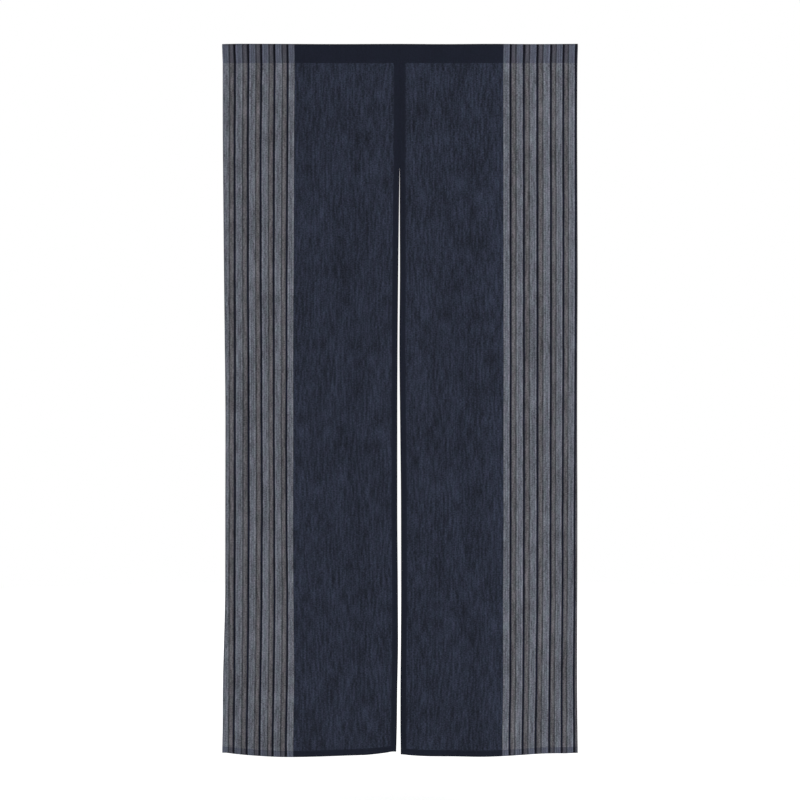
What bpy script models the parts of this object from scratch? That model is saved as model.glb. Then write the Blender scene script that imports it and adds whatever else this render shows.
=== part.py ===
"""A two-panel noren: a split doorway curtain of light striped cloth.

The curtain is two lengths of cloth, each turned back along its inner side and along its bottom.
The inner sides are sewn edge to edge for the first 290 mm and hang free below, as a slit.
The tops are turned over together and stitched down as one sleeve, open at both ends for a rod.

Everything is in metres. The origin is the middle of the top edge, +Z is up and the front faces -Y.
A depth is a distance below the top edge, and an across is a distance from a panel's inner edge.
"""

import math
from typing import Callable, NamedTuple

import bmesh
import bpy
import numpy as np

# Cloth
CLOTH = 0.0012                # one layer, as a solid
TURNING = 0.0009              # what a turned hem adds at the back
SIDE_HEM = 0.0140             # width of the turning along the seam and the slit
BOTTOM_HEM = 0.0150           # height of the turning at the bottom
HEM_STEP = 0.0010             # width of the step from a hem down to one layer
GAP = 0.0003                  # between neighbouring pieces

# Rod pocket
HEADING_HEIGHT = 0.0463
ROD_RADIUS = 0.0060           # the rod that the pocket is sewn for
ROD_SLACK = 0.0003            # cloth stands this far off the rod
STITCHED_FROM = 0.0413        # depth where the pocket's two layers come together
POCKET_TIP = 0.00015          # half width of the pocket's lowest point
POCKET_KINK = 0.0378          # depth of the pocket's last bend above that point
POCKET_ARC_STEPS = 10
POCKET_STATIONS = 22

# Panels
PANEL_TOP = HEADING_HEIGHT + GAP
PANEL_BOTTOM = 1.6950         # the lowest that a bottom edge hangs
PANEL_COLUMNS = 15            # spans across, outside the side hem
PANEL_ROWS = 36               # spans down, above the bottom hem
MIDDLE_DEPTH = 0.8500

# The bottoms belly forwards
BOW = 0.0250
BOW_FROM = 0.6000             # depth where the bow begins

# Materials
NAVY = (0.0242, 0.0296, 0.0452)
NAVY_DOUBLED = (0.0137, 0.0160, 0.0262)
CLOTH_ROUGHNESS = 0.9


class EdgeRow(NamedTuple):
    """Where the four upright edges stand at one depth, from the curtain's middle."""

    depth: float
    left_outer: float
    left_inner: float
    right_inner: float
    right_outer: float


EDGES = (
    EdgeRow(0.0000, -0.4239, -0.00095, -0.00065, 0.4236),
    EdgeRow(0.0450, -0.4227, -0.00095, -0.00065, 0.4230),
    EdgeRow(0.1800, -0.4226, -0.00095, -0.00065, 0.4223),
    EdgeRow(0.2900, -0.4221, -0.00095, -0.00065, 0.4226),
    EdgeRow(0.3950, -0.4211, -0.00225, -0.00070, 0.4229),
    EdgeRow(0.5400, -0.4198, -0.00400, -0.00030, 0.4233),
    EdgeRow(0.7150, -0.4179, -0.00560, -0.00150, 0.4226),
    EdgeRow(0.9000, -0.4164, -0.00630, 0.00020, 0.4220),
    EdgeRow(1.1000, -0.4168, -0.00635, 0.00220, 0.4225),
    EdgeRow(1.3000, -0.4169, -0.00500, 0.00250, 0.4221),
    EdgeRow(1.4300, -0.4200, -0.00440, 0.00180, 0.4217),
    EdgeRow(1.5400, -0.4227, -0.00640, 0.00090, 0.4217),
    EdgeRow(1.6250, -0.4229, -0.00730, 0.00080, 0.4226),
    EdgeRow(1.6880, -0.4242, -0.00890, 0.00160, 0.4233),
)


class HemRow(NamedTuple):
    """Depth of each panel's bottom edge at a share of its width, from the inner edge."""

    share: float
    left: float
    right: float


BOTTOM_EDGES = (
    HemRow(0.00, 1.6855, 1.6935),
    HemRow(0.06, 1.6898, 1.6945),
    HemRow(0.18, 1.6936, PANEL_BOTTOM),
    HemRow(0.34, 1.6947, 1.6949),
    HemRow(0.50, PANEL_BOTTOM, 1.6943),
    HemRow(0.66, 1.6949, 1.6928),
    HemRow(0.82, 1.6938, 1.6908),
    HemRow(0.94, 1.6922, 1.6901),
    HemRow(1.00, 1.6893, 1.6890),
)


class TopRow(NamedTuple):
    """How far the top edge dips at one place along the curtain."""

    x: float
    dip: float


TOP_DIPS = (
    TopRow(-0.4239, 0.0008),
    TopRow(-0.3850, 0.0000),
    TopRow(-0.1400, 0.0009),
    TopRow(0.0000, 0.0004),
    TopRow(0.1000, 0.0010),
    TopRow(0.2200, 0.0003),
    TopRow(0.3150, 0.0009),
    TopRow(0.4236, 0.0002),
)


class Fold(NamedTuple):
    """A soft upright ridge, or a trough where the rise is negative."""

    across_top: float
    across_bottom: float
    half_width: float
    rise_top: float
    rise_middle: float
    rise_bottom: float


class Panel(NamedTuple):
    """What differs from one panel to the other."""

    name: str
    bow_peak: float           # share of the width where the bow is deepest
    folds: tuple


LEFT = Panel("left", 0.56, (
    Fold(0.075, 0.050, 0.065, 0.0004, 0.0055, 0.0030),
    Fold(0.165, 0.125, 0.070, -0.0004, -0.0060, -0.0035),
    Fold(0.285, 0.262, 0.085, 0.0008, 0.0050, 0.0045),
    Fold(0.385, 0.395, 0.060, -0.0005, -0.0040, -0.0060),
    Fold(0.000, 0.000, 0.045, 0.0000, 0.0010, 0.0060),
))
RIGHT = Panel("right", 0.38, (
    Fold(0.085, 0.120, 0.075, -0.0004, -0.0055, -0.0040),
    Fold(0.195, 0.205, 0.080, 0.0008, 0.0065, 0.0040),
    Fold(0.300, 0.330, 0.075, -0.0005, -0.0045, -0.0055),
    Fold(0.400, 0.410, 0.055, 0.0004, 0.0035, 0.0050),
))


def smooth_table(places: list, values: list) -> Callable[[float], float]:
    """Return a curve through a table's points that never swings past them."""
    spans = np.diff(places)
    steps = np.diff(values) / spans
    slopes = np.zeros(len(places))
    slopes[0] = steps[0]
    slopes[-1] = steps[-1]
    for i in range(1, len(steps)):
        before, after = steps[i - 1], steps[i]
        if before * after > 0:
            slopes[i] = 2 * before * after / (before + after)

    def at(place: float) -> float:
        place = min(max(place, places[0]), places[-1])
        i = min(max(int(np.searchsorted(places, place)) - 1, 0), len(spans) - 1)
        t = (place - places[i]) / spans[i]
        start = values[i] * (1 + 2 * t) * (1 - t) ** 2 + slopes[i] * spans[i] * t * (1 - t) ** 2
        end = values[i + 1] * t * t * (3 - 2 * t) - slopes[i + 1] * spans[i] * t * t * (1 - t)
        return start + end

    return at


def column(rows: tuple, place: str, value: str) -> Callable[[float], float]:
    """Return the smooth curve of one named column of a table against another."""
    return smooth_table([getattr(row, place) for row in rows], [getattr(row, value) for row in rows])


EDGE_AT = {name: column(EDGES, "depth", name) for name in EdgeRow._fields[1:]}
BOTTOM_AT = {name: column(BOTTOM_EDGES, "share", name) for name in HemRow._fields[1:]}
DIP_AT = column(TOP_DIPS, "x", "dip")


def fold_rise(panel: Panel, across: float, depth: float) -> float:
    """Return how far the panel's soft folds bring it forward at one place."""
    down = (depth - PANEL_TOP) / (PANEL_BOTTOM - PANEL_TOP)
    total = 0.0
    for fold in panel.folds:
        centre = fold.across_top + (fold.across_bottom - fold.across_top) * down
        off = abs(across - centre) / fold.half_width
        if off < 1:
            rise = smooth_table([PANEL_TOP, MIDDLE_DEPTH, PANEL_BOTTOM],
                                [fold.rise_top, fold.rise_middle, fold.rise_bottom])(depth)
            total += rise * 0.5 * (1 + math.cos(math.pi * off))
    return total


def bow_rise(panel: Panel, share: float, depth: float) -> float:
    """Return how far the belly of the panel's lower part brings it forward."""
    if depth <= BOW_FROM:
        return 0.0
    down = (depth - BOW_FROM) / (PANEL_BOTTOM - BOW_FROM)
    skew = math.log(0.5) / math.log(panel.bow_peak)
    return BOW * down ** 2 * math.sin(math.pi * share ** skew)


def panel_place(panel: Panel, share: float, depth: float) -> tuple:
    """Return x and the forward rise of the panel's middle surface."""
    inner = EDGE_AT[f"{panel.name}_inner"](depth)
    outer = EDGE_AT[f"{panel.name}_outer"](depth)
    across = share * abs(outer - inner)
    x = inner + share * (outer - inner)
    return x, fold_rise(panel, across, depth) + bow_rise(panel, share, depth)


def spread(stops: list, spans: list) -> list:
    """Return places that split each stretch between two stops into its number of spans."""
    places = [stops[0]]
    for start, end, count in zip(stops, stops[1:], spans):
        places += [start + (end - start) * (i + 1) / count for i in range(count)]
    return places


def finish(mesh_tools: bmesh.types.BMesh, name: str, colour: tuple) -> bpy.types.Object:
    """Turn finished mesh tools into a named object with a cloth material of its own."""
    bmesh.ops.recalc_face_normals(mesh_tools, faces=mesh_tools.faces)
    mesh = bpy.data.meshes.new(name)
    mesh_tools.to_mesh(mesh)
    mesh_tools.free()
    mesh.shade_smooth()
    mesh.set_sharp_from_angle(angle=math.radians(40))
    obj = bpy.data.objects.new(name, mesh)
    bpy.context.scene.collection.objects.link(obj)
    material = bpy.data.materials.new(f"{name}_cloth")
    material.use_nodes = True
    shader = material.node_tree.nodes["Principled BSDF"]
    shader.inputs["Base Color"].default_value = (*colour, 1.0)
    shader.inputs["Roughness"].default_value = CLOTH_ROUGHNESS
    shader.inputs["Metallic"].default_value = 0.0
    mesh.materials.append(material)
    return obj


def skin(mesh_tools: bmesh.types.BMesh, sheet: list, flip: bool) -> None:
    """Fill the faces between the rows of one sheet of points."""
    for upper, lower in zip(sheet, sheet[1:]):
        for i in range(len(upper) - 1):
            corners = [upper[i], upper[i + 1], lower[i + 1], lower[i]]
            mesh_tools.faces.new(corners[::-1] if flip else corners)


def rim(sheet: list) -> list:
    """Return the points round the border of one sheet, in order."""
    down_far_side = [row[-1] for row in sheet[1:]]
    back_along_bottom = sheet[-1][-2::-1]
    up_near_side = [row[0] for row in sheet[-2:0:-1]]
    return sheet[0] + down_far_side + back_along_bottom + up_near_side


def build_panel(panel: Panel) -> bpy.types.Object:
    """Make one hanging panel with its turned side and bottom."""
    outer = EDGE_AT[f"{panel.name}_outer"](MIDDLE_DEPTH)
    inner = EDGE_AT[f"{panel.name}_inner"](MIDDLE_DEPTH)
    width = abs(outer - inner)
    length = PANEL_BOTTOM - PANEL_TOP
    side_hem = SIDE_HEM / width
    side_step = (SIDE_HEM + HEM_STEP) / width
    hem_top = 1 - BOTTOM_HEM / length
    step_top = 1 - (BOTTOM_HEM + HEM_STEP) / length
    shares = spread([0.0, side_hem, side_step, 1.0], [1, 1, PANEL_COLUMNS])
    downs = spread([0.0, step_top, hem_top, 1.0], [PANEL_ROWS, 1, 1])

    mesh_tools = bmesh.new()
    front = []
    back = []
    for down in downs:
        front_row = []
        back_row = []
        for share in shares:
            depth = PANEL_TOP + down * (BOTTOM_AT[panel.name](share) - PANEL_TOP)
            x, rise = panel_place(panel, share, depth)
            hems = (share <= side_hem) + (down >= hem_top)
            face = -rise - CLOTH
            front_row.append(mesh_tools.verts.new((x, face, -depth)))
            back_row.append(mesh_tools.verts.new((x, face + CLOTH + TURNING * hems, -depth)))
        front.append(front_row)
        back.append(back_row)
    skin(mesh_tools, front, flip=False)
    skin(mesh_tools, back, flip=True)

    front_rim = rim(front)
    back_rim = rim(back)
    for i in range(len(front_rim)):
        mesh_tools.faces.new([front_rim[i - 1], front_rim[i], back_rim[i], back_rim[i - 1]])
    return finish(mesh_tools, f"panel_{panel.name}", NAVY)


def wrap(radius: float, tail_half: float, tail_depth: float) -> list:
    """Return the side view of cloth that runs up from a tail, over the rod and down again.

    Each point is (y, depth). The straight runs meet the arc round the rod without a corner.
    """
    centre = CLOTH + ROD_SLACK + ROD_RADIUS
    drop = tail_depth - centre
    lean = math.atan2(tail_half, drop)
    turn = math.acos(radius / math.hypot(tail_half, drop))
    start = lean + turn
    points = [(-tail_half, tail_depth)]
    for i in range(POCKET_ARC_STEPS + 1):
        angle = start + (2 * math.pi - 2 * start) * i / POCKET_ARC_STEPS
        points.append((-radius * math.sin(angle), centre + radius * math.cos(angle)))
    points.append((tail_half, tail_depth))
    return points


def pocket_section() -> tuple:
    """Return the sleeve's outer and inner outlines, with a point of one for each of the other."""
    inner_radius = ROD_RADIUS + ROD_SLACK
    outer = wrap(inner_radius + CLOTH, CLOTH, STITCHED_FROM)
    outer = [(-CLOTH, HEADING_HEIGHT), *outer, (CLOTH, HEADING_HEIGHT)]
    bare = wrap(inner_radius, POCKET_TIP, STITCHED_FROM)
    tail, first = bare[0], bare[1]
    along = (STITCHED_FROM - POCKET_KINK) / (STITCHED_FROM - first[1])
    kink = (tail[0] + (first[0] - tail[0]) * along, POCKET_KINK)
    inner = [tail, kink, *bare[1:-1], (-kink[0], kink[1]), bare[-1]]
    return outer, inner


def heading_place(share: float, y: float, depth: float) -> tuple:
    """Return where a point of the sleeve's section lies at a share of the curtain's width."""
    left = EDGE_AT["left_outer"](depth)
    right = EDGE_AT["right_outer"](depth)
    x = left + share * (right - left)
    panel = LEFT if x < 0 else RIGHT
    low = depth / HEADING_HEIGHT
    rise = fold_rise(panel, abs(x), PANEL_TOP) * low
    return x, y - rise, -depth - DIP_AT(x) * (1 - low)


def build_heading() -> bpy.types.Object:
    """Make the rod pocket, one sleeve across both panels."""
    outer, inner = pocket_section()
    mesh_tools = bmesh.new()
    rings = []
    for i in range(POCKET_STATIONS + 1):
        share = i / POCKET_STATIONS
        rings.append([[mesh_tools.verts.new(heading_place(share, *point)) for point in outline]
                      for outline in (outer, inner)])
    for here, there in zip(rings, rings[1:]):
        for side, flip in ((0, False), (1, True)):
            for i in range(len(outer)):
                corners = [here[side][i - 1], here[side][i], there[side][i], there[side][i - 1]]
                mesh_tools.faces.new(corners[::-1] if flip else corners)
    for outside, inside in (rings[0], rings[-1]):
        for i in range(len(outer)):
            mesh_tools.faces.new([outside[i - 1], outside[i], inside[i], inside[i - 1]])
    return finish(mesh_tools, "heading", NAVY_DOUBLED)


def main() -> None:
    """Clear the scene and build the curtain."""
    for obj in list(bpy.data.objects):
        bpy.data.objects.remove(obj)
    build_panel(LEFT)
    build_panel(RIGHT)
    build_heading()


main()
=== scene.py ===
"""The looks of a two-panel noren: sheer striped cloth, turned hems, a sewn rod pocket and stitches.

Every size is in metres. The curtain hangs from the origin down -Z, and its front faces -Y. The
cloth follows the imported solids: their outline and the depth of their front are read from the
frame, and the creases, hems, threads and stitches are made on top of that. A depth is a distance
below the top edge, and an inward distance is measured from a panel's edge at the slit.
"""

from __future__ import annotations

import logging
import math
from dataclasses import dataclass
from enum import Enum
from typing import Any

import bmesh
import bpy
import numpy as np
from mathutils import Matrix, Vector
from mathutils.bvhtree import BVHTree

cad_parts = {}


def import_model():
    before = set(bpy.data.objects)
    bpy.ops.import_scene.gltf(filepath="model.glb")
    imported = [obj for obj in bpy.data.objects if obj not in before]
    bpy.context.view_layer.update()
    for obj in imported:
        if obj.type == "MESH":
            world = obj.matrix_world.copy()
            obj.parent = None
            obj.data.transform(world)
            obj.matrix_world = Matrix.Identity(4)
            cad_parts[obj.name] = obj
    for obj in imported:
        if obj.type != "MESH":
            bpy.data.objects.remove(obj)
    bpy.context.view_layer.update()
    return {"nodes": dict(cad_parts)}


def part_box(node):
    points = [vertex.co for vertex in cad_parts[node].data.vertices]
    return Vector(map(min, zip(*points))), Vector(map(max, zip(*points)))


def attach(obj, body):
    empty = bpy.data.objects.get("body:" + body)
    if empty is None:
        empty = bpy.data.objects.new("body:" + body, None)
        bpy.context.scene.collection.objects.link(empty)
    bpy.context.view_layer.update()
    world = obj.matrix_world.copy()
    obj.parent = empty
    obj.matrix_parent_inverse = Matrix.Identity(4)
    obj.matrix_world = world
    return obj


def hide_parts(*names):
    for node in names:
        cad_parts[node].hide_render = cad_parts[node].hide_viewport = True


LOG = logging.getLogger("noren")
BODY = "root"

# Cloth
CLOTH = 0.00034               # thickness of one layer
PLY = 0.00042                 # from one layer of a hem to the next
SIDE_HEM = 0.0140
BOTTOM_HEM = 0.0150
TUCK_SHORT = 0.0020           # the tucked layer ends this far from the hem's fold
EASE = 0.0045                 # the bottom hem steps down beside the side hem over this width
FOLD_FLATTEN = 0.5            # pressed folds bulge half as far as round ones
SELVEDGE = 0.0024
STITCH_INSET = 0.0020         # a row of stitches runs this far inside a hem's inner edge
STITCH_PITCH = 0.0030
STITCH_START = 0.0030         # a row of stitches starts this far from a hem's fold
STITCH_END = 0.0020           # and ends this far from the outer edge
SHARP_EDGE = 0.0002           # half the width over which a colour changes at a hem's edge
MAP_OFFSET = 7.0              # keeps the two panels' threads from being the same
CLOTH_SMOOTH = math.radians(50)

# Where the two panels are joined
SEAM_END = 0.2900
SEAM_REACH = 0.00028          # each panel reaches this far past its solid, to meet the other
SEAM_FADE = 0.0200
PEEP_DEPTH = 0.2370           # the joined edges part a little here
PEEP_HALF = 0.0065
PEEP_GAP = 0.00014

# Stripes
STRIPE_PERIOD = 0.0315
DARK_MIDDLE = 0.0175          # from the first stripe's inner edge to the middle of a dark gap

# Small unevenness: how far it lifts the cloth
RIPPLE_LIFT = 0.00016
SIDE_PUCKER = 0.00013
BOTTOM_PUCKER = 0.00018
TOP_PUCKER = 0.00012

# Camera
CAMERA_DISTANCE = 4.5
CAMERA_HEIGHT = -0.8492
SENSOR = 36.0                 # in millimetres, as is the lens
FIELD = 1.9069                # what the picture spans at the curtain


def smooth(value: np.ndarray) -> np.ndarray:
    """Return a value clipped to 0 and 1, with soft ends."""
    value = np.clip(value, 0, 1)
    return value * value * (3 - 2 * value)


def linear(red: float, green: float, blue: float) -> tuple[float, float, float]:
    """Return a screen colour, given from 0 to 255, as a linear one.

    Args:
        red: Its red on screen.
        green: Its green on screen.
        blue: Its blue on screen.

    Returns:
        The three linear values, from 0 to 1.
    """
    shares = (channel / 255 for channel in (red, green, blue))
    return tuple(s / 12.92 if s <= 0.04045 else ((s + 0.055) / 1.055) ** 2.4 for s in shares)


def cubic_taps(count: int, places: np.ndarray) -> tuple[np.ndarray, np.ndarray]:
    """Return the four samples round each place and their weights, for a smooth curve.

    Args:
        count: How many evenly spaced samples there are.
        places: Where the curve is read, from 0 at the first sample to count - 1 at the last.

    Returns:
        The samples' numbers and their weights, each with four as its last dimension.
    """
    places = np.clip(places, 0, count - 1)
    first = np.clip(np.floor(places).astype(int), 0, count - 2)
    t = places - first
    weights = np.stack([
        ((-t + 2) * t - 1) * t / 2,
        ((3 * t - 5) * t * t + 2) / 2,
        ((-3 * t + 4) * t + 1) * t / 2,
        (t - 1) * t * t / 2,
    ], axis=-1)
    numbers = np.clip(first[..., None] + np.arange(-1, 3), 0, count - 1)
    return numbers, weights


class Side(Enum):
    """The two panels, by the way from the slit to the outer edge along X."""

    LEFT = -1
    RIGHT = 1

    @property
    def word(self) -> str:
        """Return the side's name as it stands in the solids' names."""
        return self.name.lower()


@dataclass(frozen=True)
class Crease:
    """A soft ridge, or a trough where the rise is negative, along a short straight line.

    Each end is an inward distance and a depth.
    """

    across_from: float
    depth_from: float
    across_to: float
    depth_to: float
    half_width: float
    rise: float

    def at(self, across: np.ndarray, depth: np.ndarray) -> np.ndarray:
        """Return how far the crease lifts the cloth at each place.

        Args:
            across: Inward distances.
            depth: Depths.

        Returns:
            The lift at each place, fading out towards the crease's ends.
        """
        run = np.array([self.across_to - self.across_from, self.depth_to - self.depth_from])
        length = float(np.hypot(*run))
        right = across - self.across_from
        down = depth - self.depth_from
        along = (right * run[0] + down * run[1]) / length
        aside = (right * run[1] - down * run[0]) / length
        bell = np.clip(1 - (aside / self.half_width) ** 2, 0, 1) ** 2
        return self.rise * bell * np.sin(math.pi * np.clip(along / length, 0, 1)) ** 2


CREASES = {
    Side.LEFT: (
        Crease(0.070, 0.30, 0.045, 0.86, 0.020, 0.0009),
        Crease(0.178, 0.80, 0.130, 1.42, 0.022, 0.0016),
        Crease(0.235, 0.12, 0.215, 0.72, 0.030, -0.0012),
        Crease(0.330, 0.95, 0.352, 1.62, 0.026, 0.0013),
        Crease(0.040, 1.25, 0.012, 1.68, 0.018, -0.0010),
    ),
    Side.RIGHT: (
        Crease(0.092, 0.22, 0.112, 0.72, 0.022, -0.0014),
        Crease(0.118, 0.70, 0.170, 1.40, 0.026, -0.0016),
        Crease(0.215, 0.95, 0.208, 1.60, 0.024, 0.0013),
        Crease(0.300, 0.15, 0.322, 0.86, 0.030, 0.0010),
        Crease(0.375, 1.10, 0.392, 1.66, 0.022, -0.0012),
    ),
}


@dataclass(frozen=True)
class BandRow:
    """Where the stripes of each side hang at one depth, from the curtain's middle.

    Each side has the places of the band's marks: the first stripe's inner edge, and the middles of
    the first, third and fifth dark gaps.
    """

    depth: float
    left: tuple[float, float, float, float]
    right: tuple[float, float, float, float]


BAND_ROWS = (
    BandRow(0.02, (0.2507, 0.2670, 0.3300, 0.3932), (0.2460, 0.2630, 0.3270, 0.3890)),
    BandRow(0.23, (0.2524, 0.2680, 0.3320, 0.3940), (0.2462, 0.2632, 0.3272, 0.3890)),
    BandRow(0.56, (0.2531, 0.2700, 0.3319, 0.3939), (0.2464, 0.2633, 0.3275, 0.3892)),
    BandRow(0.75, (0.2545, 0.2700, 0.3304, 0.3935), (0.2466, 0.2636, 0.3278, 0.3889)),
    BandRow(0.94, (0.2538, 0.2708, 0.3293, 0.3937), (0.2463, 0.2633, 0.3275, 0.3880)),
    BandRow(1.13, (0.2544, 0.2701, 0.3283, 0.3937), (0.2463, 0.2632, 0.3276, 0.3871)),
    BandRow(1.32, (0.2532, 0.2674, 0.3292, 0.3945), (0.2449, 0.2623, 0.3270, 0.3871)),
    BandRow(1.52, (0.2509, 0.2678, 0.3316, 0.3947), (0.2446, 0.2621, 0.3247, 0.3847)),
    BandRow(1.65, (0.2527, 0.2700, 0.3335, 0.3963), (0.2425, 0.2596, 0.3226, 0.3847)),
)
FOURTH_SHARE = {Side.LEFT: 0.49, Side.RIGHT: 0.525}   # the fourth gap's way from third to fifth


class HungSurface:
    """The hung front of one panel, read from its solid in the frame."""

    EDGE_SAMPLES = 120
    BOTTOM_SAMPLES = 48
    ACROSS_SAMPLES = 31
    DOWN_SAMPLES = 57
    INSIDE = 0.0006           # rays and cuts keep this far inside the solid's outline
    CORNER = 0.0120           # the bottom edge is read from this far inside the corners
    TANGENT_STEP = 0.0010
    FAR = 1.0                 # rays start this far in front

    def __init__(self, node: bpy.types.Object, side: Side) -> None:
        """Read the solid's edges and the depth of its front.

        Args:
            node: The panel's solid.
            side: Which of the two panels it is.
        """
        self.side = side
        low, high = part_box(node.name)
        self.top = -high.z
        self.lowest = -low.z
        self.length = self.lowest - self.top
        self.corner_x = (high.x, low.x) if side is Side.LEFT else (low.x, high.x)
        points = np.array([v.co for v in node.data.vertices])
        ends = np.array([e.vertices for e in node.data.edges])
        self._start, self._end = points[ends[:, 0]], points[ends[:, 1]]
        self._read_bottom()
        self._read_edges()
        self.width = float(np.median(np.abs(self.outer_x - self.inner_x)))
        self._read_front(node)

    def _cut(self, axis: int, level: float, wanted: int) -> np.ndarray:
        """Return where the solid's edges cross a level plane.

        Args:
            axis: The axis that the level is on.
            level: Where the plane lies on that axis.
            wanted: The axis to give the crossings on.

        Returns:
            The crossings' places on the wanted axis.
        """
        start, end = self._start[:, axis], self._end[:, axis]
        crosses = (start - level) * (end - level) < 0
        share = (level - start[crosses]) / (end[crosses] - start[crosses])
        first, last = self._start[crosses, wanted], self._end[crosses, wanted]
        return first + share * (last - first)

    def _read_bottom(self) -> None:
        """Read the depth of the bottom edge, from one corner to the other."""
        inner, outer = self.corner_x
        inset = self.side.value * self.CORNER
        lines = np.linspace(inner + inset, outer - inset, self.BOTTOM_SAMPLES)
        self._bottom_shares = (lines - inner) / (outer - inner)
        self._bottom_depths = np.array([-self._cut(0, x, 2).min() for x in lines])

    def _read_edges(self) -> None:
        """Read the inner and outer edges, down to the higher of the two bottom corners."""
        last = min(self._bottom_depths[0], self._bottom_depths[-1]) - self.CORNER / 4
        self._edge_depths = np.linspace(self.top + self.INSIDE, last, self.EDGE_SAMPLES)
        cuts = [self._cut(2, -depth, 0) for depth in self._edge_depths]
        highs = np.array([c.max() for c in cuts])
        lows = np.array([c.min() for c in cuts])
        self.inner_x, self.outer_x = (highs, lows) if self.side is Side.LEFT else (lows, highs)

    def _read_front(self, node: bpy.types.Object) -> None:
        """Read how far the front stands on an even grid, by rays from the front.

        Args:
            node: The panel's solid.
        """
        mesh_tools = bmesh.new()
        mesh_tools.from_mesh(node.data)
        tree = BVHTree.FromBMesh(mesh_tools)
        mesh_tools.free()
        across_margin = 2 * self.INSIDE / self.width
        down_margin = 2 * self.INSIDE / self.length
        shares = np.clip(np.linspace(0, 1, self.ACROSS_SAMPLES), across_margin, 1 - across_margin)
        downs = np.clip(np.linspace(0, 1, self.DOWN_SAMPLES), down_margin, 1 - down_margin)
        self._fronts = np.zeros((len(downs), len(shares)))
        for j, down in enumerate(downs):
            for i, share in enumerate(shares):
                x, depth = self._outline(np.array(share), np.array(down))
                start = Vector((float(x), -self.FAR, -float(depth)))
                hit = tree.ray_cast(start, Vector((0, 1, 0)))[0] or tree.find_nearest(start)[0]
                self._fronts[j, i] = hit.y

    def _outline(self, share: np.ndarray, down: np.ndarray) -> tuple[np.ndarray, np.ndarray]:
        """Return x and depth at shares across and down, which may pass the edges a little.

        Args:
            share: From 0 at the inner edge to 1 at the outer one.
            down: From 0 at the top to 1 at the bottom edge.

        Returns:
            The places' x and their depths.
        """
        bottom = np.interp(share, self._bottom_shares, self._bottom_depths)
        depth = self.top + down * (bottom - self.top)
        inner = np.interp(depth, self._edge_depths, self.inner_x)
        outer = np.interp(depth, self._edge_depths, self.outer_x)
        return inner + share * (outer - inner), depth

    def _relief(self, across: np.ndarray, depth: np.ndarray) -> np.ndarray:
        """Return the cloth's own small unevenness on top of the solid's folds.

        Args:
            across: Inward distances.
            depth: Depths.

        Returns:
            The lift towards the front at each place.
        """
        lift = sum(crease.at(across, depth) for crease in CREASES[self.side])
        phase = 1.7 * self.side.value
        ripple = np.sin(across / 0.019 + 2.1 * np.sin(depth / 0.23) + phase)
        ripple += np.sin(across / 0.031 - depth / 0.41 + 2 * phase)
        lift += RIPPLE_LIFT * ripple * smooth((depth - self.top) / 0.30) * smooth(across / 0.03)
        near_side = np.exp(-((across - SIDE_HEM) / 0.007) ** 2)
        wave = depth / 0.0046 + 1.3 * np.sin(depth / 0.047) + phase
        lift += SIDE_PUCKER * near_side * np.sin(wave)
        up = self.lowest - depth
        near_bottom = np.exp(-((up - BOTTOM_HEM - 0.003) / 0.008) ** 2)
        wave = across / 0.0040 + 1.5 * np.sin(across / 0.05)
        lift += BOTTOM_PUCKER * near_bottom * np.sin(wave)
        near_top = np.exp(-np.clip(depth - self.top, 0, 1) / 0.010)
        return lift + TOP_PUCKER * near_top * np.sin(across / 0.0045 + np.sin(across / 0.06))

    def place(self, share: np.ndarray, down: np.ndarray) -> np.ndarray:
        """Return points on the middle of the cloth's face.

        Args:
            share: From 0 at the inner edge to 1 at the outer one.
            down: From 0 at the top to 1 at the bottom edge.

        Returns:
            The points, with x, y and z as the last dimension.
        """
        x, depth = self._outline(share, down)
        rows, row_weights = cubic_taps(self.DOWN_SAMPLES, down * (self.DOWN_SAMPLES - 1))
        columns, column_weights = cubic_taps(self.ACROSS_SAMPLES, share * (self.ACROSS_SAMPLES - 1))
        taps = self._fronts[rows[..., :, None], columns[..., None, :]]
        front = (taps * row_weights[..., :, None] * column_weights[..., None, :]).sum((-1, -2))
        front -= self._relief(share * self.width, depth)
        return np.stack([x, front + CLOTH / 2, -depth], axis=-1)

    def frame_at(self, share: np.ndarray, down: np.ndarray) -> tuple[np.ndarray, ...]:
        """Return points of the cloth's face and three directions at each of them.

        Args:
            share: From 0 at the inner edge to 1 at the outer one.
            down: From 0 at the top to 1 at the bottom edge.

        Returns:
            The points, and the unit vectors outwards across, down, and out of the back.
        """
        step_share = self.TANGENT_STEP / self.width
        step_down = self.TANGENT_STEP / self.length
        across = self.place(share + step_share, down) - self.place(share - step_share, down)
        below = self.place(share, down + step_down) - self.place(share, down - step_down)
        back = np.cross(across, below)
        back *= np.where(back[..., 1:2] < 0, -1.0, 1.0)
        units = [v / np.linalg.norm(v, axis=-1, keepdims=True) for v in (across, below, back)]
        return self.place(share, down), *units

    def from_band(self, points: np.ndarray) -> np.ndarray:
        """Return how far outside the first stripe's inner edge each point lies.

        Args:
            points: Points of the cloth's face.

        Returns:
            The distances, negative between the slit and the stripes.
        """
        depths = [row.depth for row in BAND_ROWS]
        columns = zip(*(getattr(row, self.side.word) for row in BAND_ROWS))
        start, first, third, fifth = (
            np.interp(-points[..., 2], depths, column) for column in columns)
        fourth = third + FOURTH_SHARE[self.side] * (fifth - third)
        places = (start, first, third, fourth, fifth)
        marks = (0.0, *(DARK_MIDDLE + i * STRIPE_PERIOD for i in (0, 2, 3, 4)))
        across = self.side.value * points[..., 0]
        distance = across - start
        for i, mark in enumerate(marks[:-1]):
            stretch = (marks[i + 1] - mark) / (places[i + 1] - places[i])
            beyond = mark + (across - places[i]) * stretch
            distance = np.where(across > places[i], beyond, distance)
        return distance


class Leg(Enum):
    """The stretches of a double-turned hem, in the order in which the cloth runs through them."""

    FACE = 0
    FIRST_BEND = 1
    UNDER = 2
    SECOND_BEND = 3
    TUCKED = 4


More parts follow.
